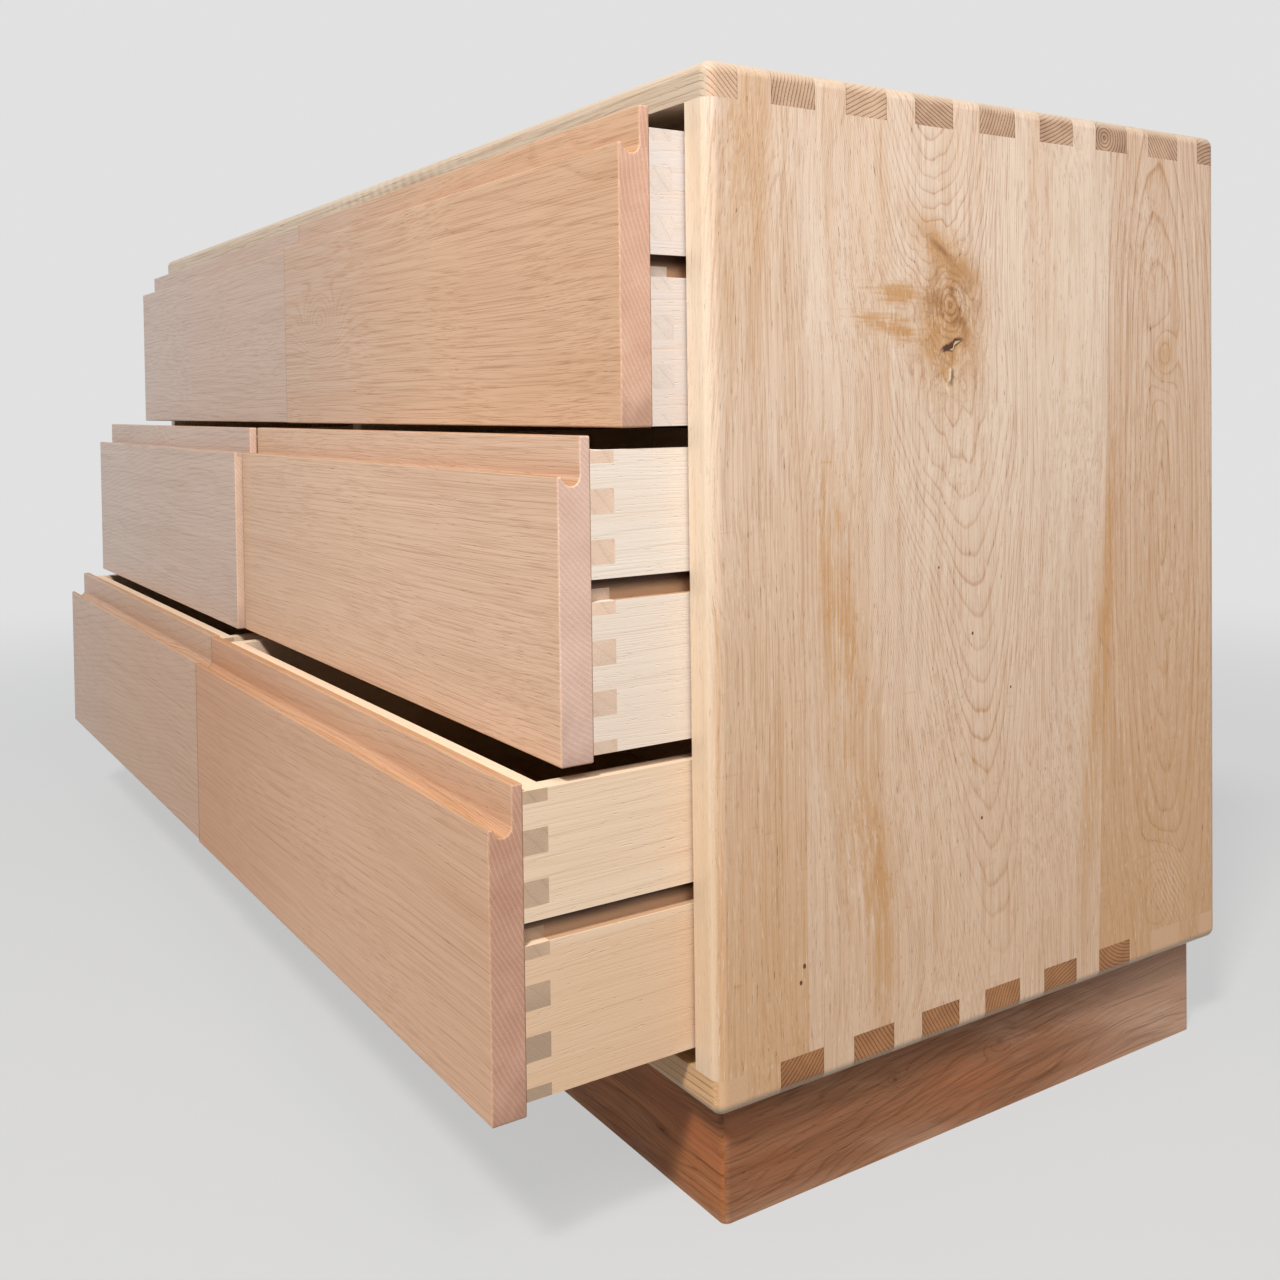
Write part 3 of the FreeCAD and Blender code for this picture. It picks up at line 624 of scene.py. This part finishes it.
# For each front: its tones at the left and at the right, its dark lines, its ends and their lines,
# and its pith as depth behind the face, tilt, height and rise.
# The change from the left tone to the right tone is partly the oak's own and partly painted
# fall-off of the light from the right.
OAKS = {
    "top_left": dict(
        left=tone(195, 173, 159), right=tone(193, 165, 145), dark=tone(160, 132, 114),
        end=tone(170, 126, 100), end_line=tone(200, 158, 132), pith=(0.40, 0.02, 0.35, 0.03),
        lines=0.26, hairs=0.34),
    "top_right": dict(
        left=tone(192, 163, 140), right=tone(210, 169, 134), dark=tone(164, 118, 84),
        end=tone(196, 150, 126), end_line=tone(228, 190, 166), pith=(0.32, -0.02, 0.70, 0.03),
        lines=0.24, hairs=0.42, eye=(0.10, 0.59)),
    "middle_left": dict(
        left=tone(196, 175, 160), right=tone(195, 169, 151), dark=tone(160, 130, 110),
        end=tone(200, 168, 146), end_line=tone(222, 196, 176), pith=(0.45, 0.03, 0.75, 0.06),
        lines=0.26, hairs=0.3),
    "middle_right": dict(
        left=tone(208, 172, 142), right=tone(219, 182, 152), dark=tone(168, 124, 92),
        end=tone(206, 168, 150), end_line=tone(230, 200, 182), pith=(0.30, -0.03, 0.70, 0.05),
        lines=0.26, hairs=0.3, cove_shade=0.6),
    "bottom_left": dict(
        left=tone(194, 166, 147), right=tone(194, 158, 131), dark=tone(158, 122, 96),
        end=tone(176, 132, 108), end_line=tone(210, 170, 146), pith=(0.5, 0.02, 0.50, 0.10),
        lines=0.22, hairs=0.24),
    "bottom_right": dict(
        left=tone(192, 143, 108), right=tone(211, 169, 137), dark=tone(166, 120, 86),
        end=tone(178, 132, 108), end_line=tone(212, 170, 148), pith=(0.5, 0.04, 0.50, -0.05),
        lines=0.22, hairs=0.24, arris_shadow=0.8),
}


def oak_front(drawer, seed, left, right, dark, end, end_line, pith, lines, hairs, eye=None,
              cove_shade=0.45, arris_shadow=0.3):
    """A drawer front of pale oak: cathedrals round a pith behind the face, greyer at its left,
    partly its own tone and partly painted fall-off of the light from the right.

    The last two arguments are how much painted shade darkens the finger pull and the other faces
    that look up or down, and how much a painted shadow of the gap darkens the left edge.
    """
    board = Board(f"{drawer}_oak", X, seed)
    g = board.g
    low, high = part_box(f"drawer_{drawer}_front")
    depth, tilt, height, rise = pith
    board.round_pith((low[1] + depth - (low[0] + high[0]) / 2 * tilt, height), (tilt, rise), 0.003,
                     0.006)
    if eye:
        board.field = board.field - g.spot(g.x, g.z, eye, (0.06, 0.035)) * 8
        lines = lines + g.spot(g.x, g.z, eye, (0.09, 0.055)) * 0.4
    # Paler towards the right: partly the oak's own tone, partly painted fall-off of the light from
    # the right.
    pale = g.mix(g.smooth(g.x, low[0], (low[0] + 2 * high[0]) / 3), left, right)
    board.face(pale, dark, darker(dark, 1.2), contrast=lines, hairs=hairs, pore=0.3,
               pore_length=0.014, stain_amount=0.35, hairline=(0.26, 0.0009))
    # Painted shade: the faces that look up or down, the finger pull among them, are darkened.
    board.lay(g.smooth(g.facing[Z], 0.2, 0.6) * (cove_shade + board.hair * 0.3), COVE_SHADE_TONE)
    # Painted shadow: a dark strip along the left edge, where the gap between the fronts lies in
    # shade.
    board.lay(g.smooth(g.x, low[0] + 0.0035, low[0] + 0.002) * arris_shadow, ARRIS_SHADOW_TONE)
    board.ends(end, end_line, 0.6)
    cloud = g.noise(g.y * 60, g.z * 25, seed, detail=3)
    wedge = g.smooth(g.z + cloud * 0.06, low[2] + 0.03, low[2]) * g.faces(X)
    board.lay(wedge * 0.5, darker(end, 0.55))
    return board.done()


ZINC_DARK = tone(150, 150, 152)
ZINC_PALE = tone(205, 205, 208)


def screw_steel():
    """Bright zinc-plated steel with a faint brushed unevenness."""
    g = Surface("screw_steel")
    mottle = g.noise(g.x * 900, g.y * 900, g.z * 900, detail=3)
    return g.finish(g.mix(mottle + 0.5, ZINC_DARK, ZINC_PALE), mottle * 0.2 + 0.3, mottle,
                    specular=0.5, metallic=1.0, depth=0.00005)


CREAM = (tone(228, 212, 196), tone(212, 178, 144), tone(226, 196, 160))
BOX_PIECES = ("box_front", "box_back", "side_left", "side_right")

paint(level_board("top_wood", 3.1, 0.72, TOP_STAVES, tone(200, 180, 156), tone(154, 124, 94),
                  tone(210, 175, 146), tone(106, 66, 40)), "case_top")
paint(level_board("bottom_wood", 5.7, 0.08, BOTTOM_STAVES, tone(204, 164, 120), tone(142, 98, 62),
                  tone(178, 124, 80), tone(82, 44, 20)), "case_bottom")
paint(RightSide().material(), "case_side_right")
paint(plain_board("left_side_wood", Z, 8.3, (-0.7, 0.03), BLONDE, BLONDE_DARK, BLONDE_STAIN,
                  tilt=(-0.05, 0.0)), "case_side_left")
for number, (drawer, look) in enumerate(OAKS.items()):
    paint(oak_front(drawer, 11.0 + 3.7 * number, **look), f"drawer_{drawer}_front")
    row = drawer.split("_")[0]
    for piece_number, piece in enumerate(BOX_PIECES):
        node = f"drawer_{drawer}_{piece}"
        seed = 40.0 + 2.3 * number + 0.7 * piece_number
        paint(box_board(f"{drawer}_{piece}_wood", node, seed, *BOX_LOOKS[row]), node)
paint(plain_board("divider_wood", Z, 71.0, (0.3, 0.4), *CREAM, contrast=0.3), "centre_divider")
paint(plain_board("runner_wood", Y, 73.0, (0.3, 0.4), *CREAM, contrast=0.3), "runners_side_left",
      "runners_divider_left", "runners_divider_right", "runners_side_right", "plinth_corner_blocks")
paint(plain_board("plywood", X, 77.0, (0.3, 2.0), tone(226, 198, 160), tone(190, 150, 108),
                  tone(206, 168, 124), spacing=0.012),
      *[f"drawer_{drawer}_bottom" for drawer in OAKS])
paint(plain_board("back_veneer", X, 79.0, (0.29, 0.36), tone(226, 198, 160), tone(186, 144, 102),
                  tone(206, 168, 124), tilt=(0.06, 0.05), spacing=0.007, warp=0.012, contrast=0.34,
                  hairs=0.2), "back_panel")
for node, grain, seed in (("plinth_back", X, 83.0), ("plinth_centre_rail", Y, 85.0),
                          ("plinth_left", Y, 89.0)):
    paint(plinth_board(f"{node}_walnut", grain, seed), node)
paint(plinth_board("plinth_right_walnut", Y, 87.0, faded=0.6), "plinth_right")
paint(plinth_board("plinth_front_walnut", X, 81.0, tone(172, 109, 63), tone(90, 46, 21)),
      "plinth_front")
paint(screw_steel(), "runner_screws", "plinth_screws",
      *[f"drawer_{drawer}_screws" for drawer in OAKS])

PHOTO_WIDTH = 1280
FOCAL_LENGTH = 1349.25
CENTRE_HEIGHT = 437.62
CAMERA_PLACE = (1.2953, -0.7257, 0.5135)
CAMERA_YAW, CAMERA_PITCH, CAMERA_ROLL = 57.0037, 1.4309, -0.7349


def aim(*angles):
    """The camera's turn: it looks level along +Y at yaw 0, turns left with yaw, down with pitch."""
    yaw, pitch, roll = [math.radians(angle) for angle in angles]
    ahead = Vector((-math.sin(yaw) * math.cos(pitch), math.cos(yaw) * math.cos(pitch),
                    -math.sin(pitch)))
    right = Vector((math.cos(yaw), math.sin(yaw), 0))
    up = right.cross(ahead)
    rolled_right = right * math.cos(roll) + up * math.sin(roll)
    rolled_up = up * math.cos(roll) - right * math.sin(roll)
    return Matrix((rolled_right, rolled_up, -ahead)).transposed().to_4x4()


def put(name, data):
    """Puts a new object with some data into the scene."""
    thing = bpy.data.objects.new(name, data)
    bpy.context.scene.collection.objects.link(thing)
    return thing


lens = bpy.data.cameras.new("photo_camera")
lens.sensor_width = 36
lens.lens = FOCAL_LENGTH / PHOTO_WIDTH * lens.sensor_width
lens.shift_y = CENTRE_HEIGHT / PHOTO_WIDTH - 0.5
lens.clip_end = 60
camera = put("photo_camera", lens)
camera.matrix_world = Matrix.Translation(CAMERA_PLACE) @ aim(CAMERA_YAW, CAMERA_PITCH, CAMERA_ROLL)
bpy.context.scene.camera = camera


def lamp(name, towards, distance, size, power, colour, target=(0.2, -0.1, 0.4)):
    """A square lamp that shines at target from the direction towards."""
    data = bpy.data.lights.new(name, "AREA")
    data.size = size
    data.energy = power
    data.color = colour
    light = put(name, data)
    direction = Vector(towards).normalized()
    light.location = Vector(target) + direction * distance
    light.rotation_euler = direction.to_track_quat("Z", "Y").to_euler()


lamp("key", (0.5, -0.6, 0.85), 4.2, 0.55, 190, (1.0, 0.985, 0.965))
lamp("right_light", (1.15, -0.35, 1.2), 1.7, 0.6, 12, (1.0, 0.98, 0.95), target=(0.64, -0.1, 0.55))
lamp("left_fill", (-0.8, -0.7, 0.35), 3.2, 2.8, 14, (0.75, 0.87, 1.0), target=(-0.5, -0.3, 0.4))


def studio_sky():
    """A soft light from all sides, behind which the camera, gloss and glass see a pale backdrop."""
    sky = Graph(bpy.data.worlds.new("studio"))
    bpy.context.scene.world = sky.owner
    ambient = sky.pass_through(sky.node("Background"), tone(215, 219, 224), 0.5)
    backdrop = sky.pass_through(sky.node("Background"), tone(225, 225, 225), 1.0)
    rays = sky.node("LightPath").outputs
    seen = sky.math("MAXIMUM", rays["Is Camera Ray"], rays["Is Glossy Ray"])
    seen = sky.math("MAXIMUM", seen, rays["Is Transmission Ray"])
    sky.output("OutputWorld", sky.mix_shaders(seen, ambient, backdrop))


FLOOR_HALF = 6.0
FLOOR_CLEAR = 0.68
FLOOR_FADE = (0.9, 2.6)


def studio_floor():
    """A pale floor that fades into the backdrop."""
    mesh = bpy.data.meshes.new("floor")
    corners = [(x * FLOOR_HALF, y * FLOOR_HALF, 0) for x, y in ((-1, -1), (1, -1), (1, 1), (-1, 1))]
    mesh.from_pydata(corners, [], [(0, 1, 2, 3)])
    put("floor", mesh)
    g = Surface("floor_paint")
    distance = g.math("SQRT", g.x * g.x + g.y * g.y)
    dust = g.noise(g.x * 40, g.y * 40, 0, detail=4)
    grey = g.mix(dust + 0.5, tone(172, 172, 172), tone(175, 175, 175))
    matt = g.pass_through(g.node("BsdfDiffuse"), grey)
    fade = FLOOR_CLEAR + g.smooth(distance, *FLOOR_FADE) * (1 - FLOOR_CLEAR)
    clear = g.node("BsdfTransparent").outputs[0]
    g.output("OutputMaterial", g.mix_shaders(fade, matt, clear))
    mesh.materials.append(g.owner)


studio_sky()
studio_floor()

bpy.context.scene.view_settings.view_transform = "Standard"
